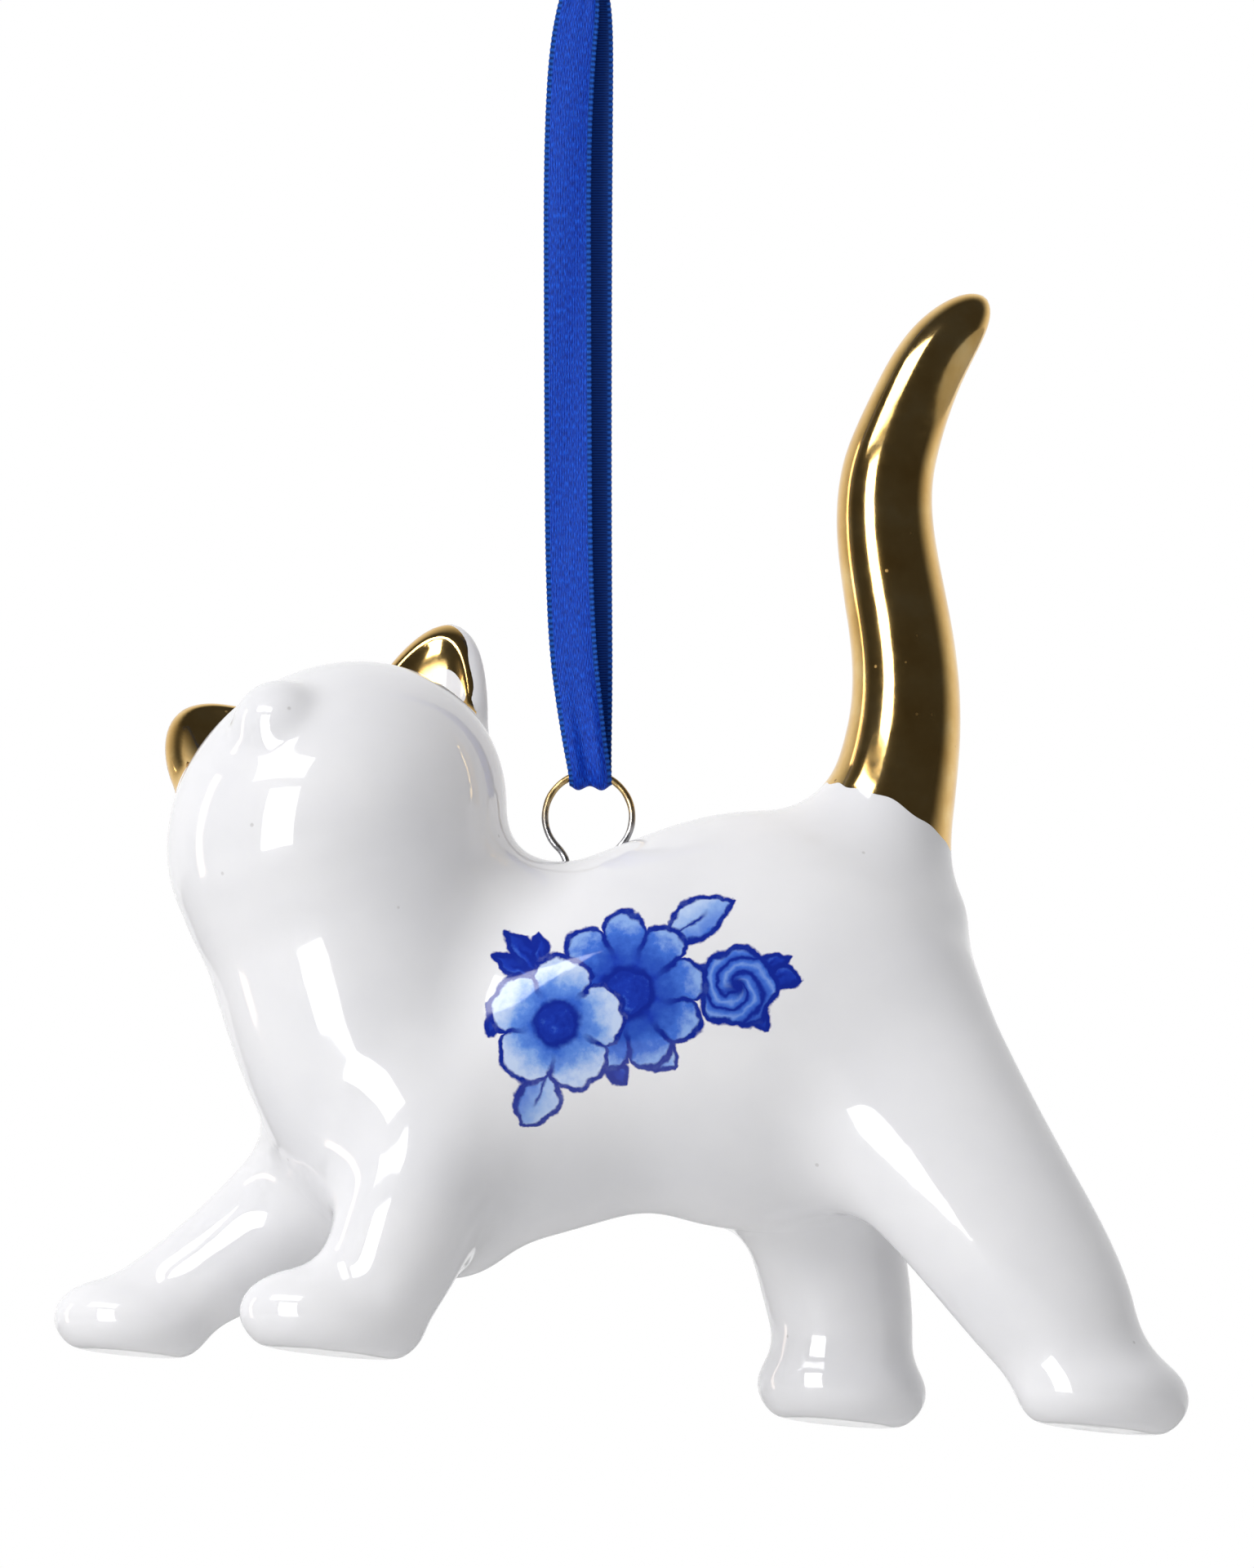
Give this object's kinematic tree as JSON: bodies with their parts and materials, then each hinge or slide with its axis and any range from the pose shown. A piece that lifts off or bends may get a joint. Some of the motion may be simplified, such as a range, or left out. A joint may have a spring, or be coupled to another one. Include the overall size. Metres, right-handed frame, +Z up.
{
  "type": "ceramic cat ornament",
  "caption": "Small white porcelain cat with a gold tail and ears and a blue flower motif, hung by a satin ribbon through a wire eye.",
  "frame": {"origin": "the fork under the ribbon's knot, where the loop hangs on a hook or twig", "axes": "+Z up along the ribbon, +X from head to tail, +Y away from the cat's left side"},
  "size_m": [0.0724, 0.0227, 0.1041],
  "materials": {
    "white_porcelain": "gloss",
    "gold_lustre": "mirror gold lustre over glaze",
    "eye_wire": "plain wire",
    "blue_satin": "satin"
  },
  "bodies": {
    "hanger": {"ribbon_knot": "blue_satin"},
    "ribbon": {"ribbon_loop": "blue_satin"},
    "cat": {"torso_casting": "white_porcelain", "head_casting": "white_porcelain", "ear_left": "white_porcelain", "ear_right": "white_porcelain", "front_leg_left": "white_porcelain", "front_leg_right": "white_porcelain", "hind_leg_left": "white_porcelain", "hind_leg_right": "white_porcelain", "tail_casting": "gold_lustre", "hanging_wire": "eye_wire"}
  },
  "joints": [
    {"name": "ribbon_twist", "type": "hinge", "parent": "hanger", "child": "ribbon", "pos_m": [0, 0, 0], "axis": [0, 0, 1], "range_deg": [-180, 180]},
    {"name": "cat_swing", "type": "hinge", "parent": "ribbon", "child": "cat", "pos_m": [0, 0, -0.05455], "axis": [0, 1, 0], "range_deg": [-28, 24]}
  ]
}
